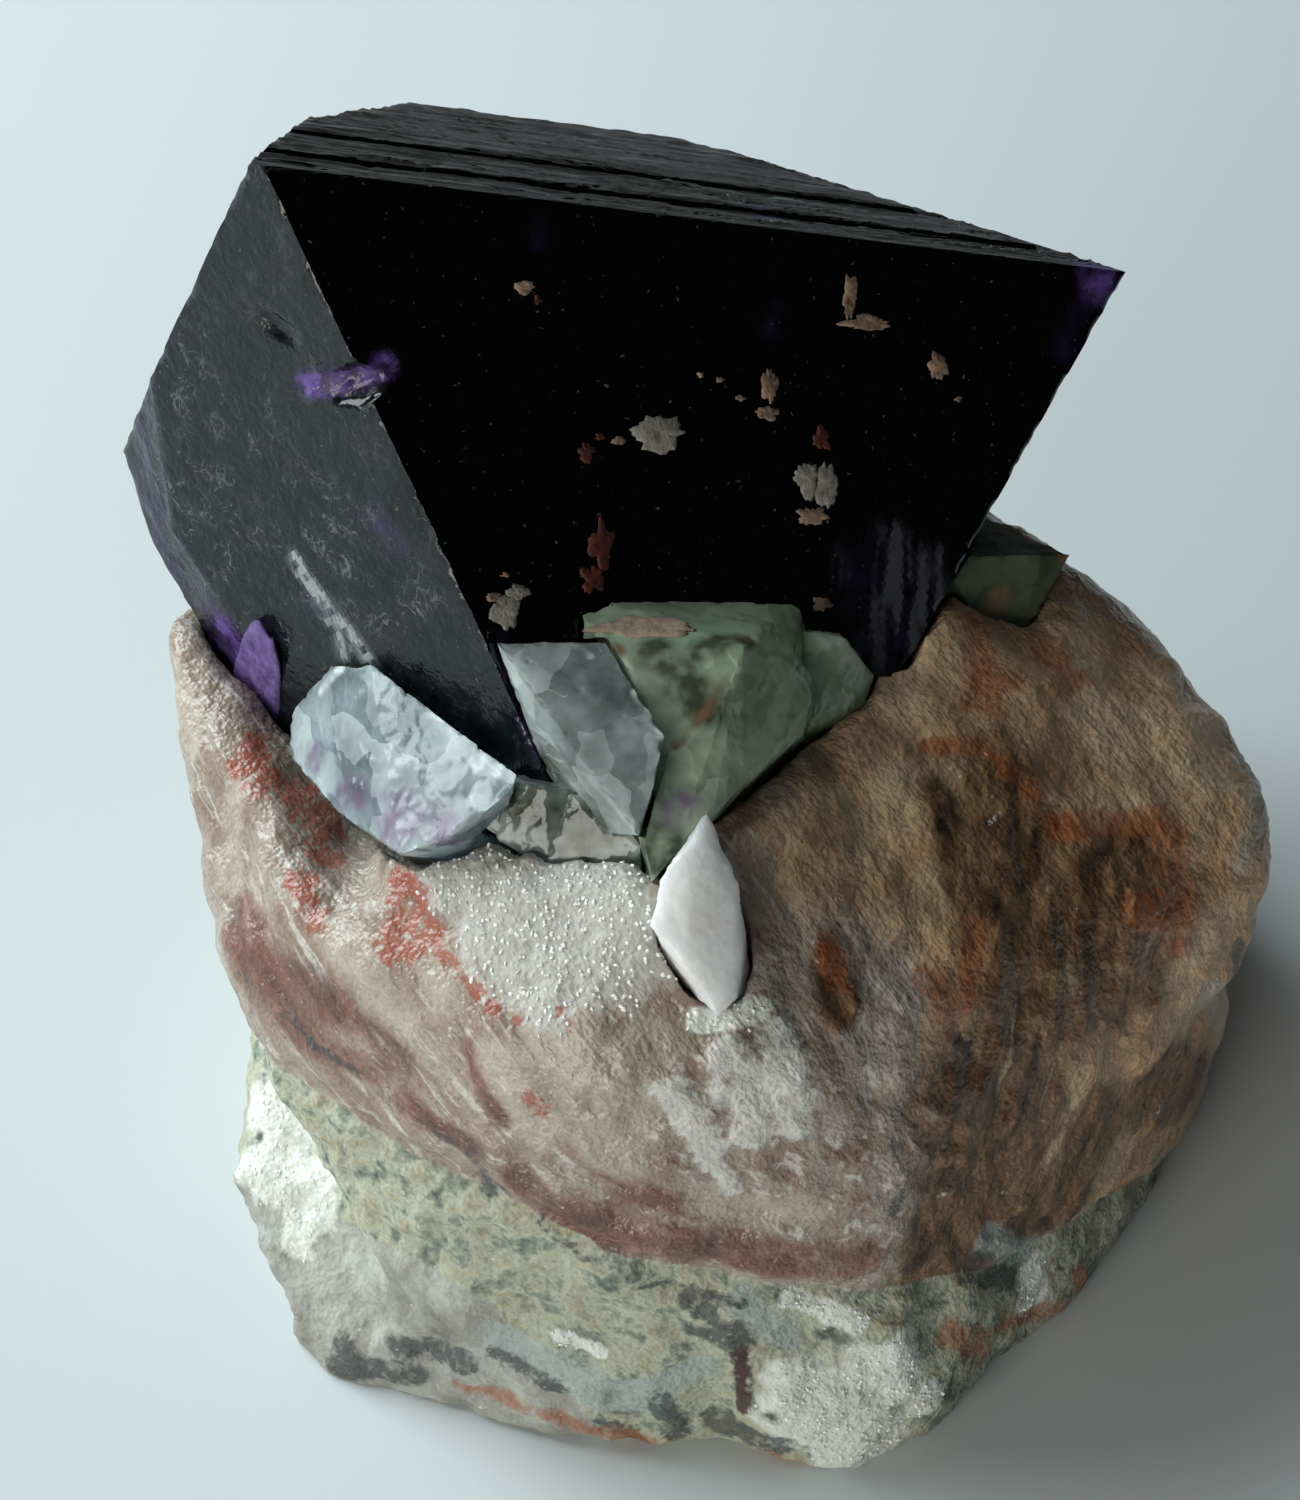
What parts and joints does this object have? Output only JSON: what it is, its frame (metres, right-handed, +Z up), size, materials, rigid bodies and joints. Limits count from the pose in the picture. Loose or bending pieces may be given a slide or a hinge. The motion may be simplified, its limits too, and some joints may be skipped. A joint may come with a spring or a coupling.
{
  "type": "fluorite octahedron on matrix",
  "caption": "Dark purple octahedral crystal grown on a lump of pinkish calcite and wall rock, with small green and clear crystals at its foot; stands on a flat base.",
  "frame": {"origin": "on the surface that the specimen stands on, under the middle of its bounding box", "axes": "+Z up, -Y towards the side that shows the large dark crystal face, +X to the right as seen from that side"},
  "size_m": [0.067, 0.0684, 0.0659],
  "materials": {
    "fluorite_octahedron": "near-opaque dark purple crystal with glossy faces",
    "green_fluorite": "translucent grey-green crystal, glossy cleavage faces",
    "clear_fluorite": "clear crystal with glossy cleavage faces",
    "pale_fluorite": "cloudy pale blue-green crystal with lilac zones",
    "small_green_octahedron": "dark green crystal, satin faces",
    "white_calcite_blade": "white sugary calcite",
    "matrix": "salmon calcite over grey-green wall rock, rough"
  },
  "bodies": {
    "root": {"fluorite_octahedron": "fluorite_octahedron", "green_fluorite": "green_fluorite", "clear_fluorite": "clear_fluorite", "pale_fluorite": "pale_fluorite", "small_green_octahedron": "small_green_octahedron", "white_calcite_blade": "white_calcite_blade", "matrix": "matrix"}
  },
  "joints": []
}
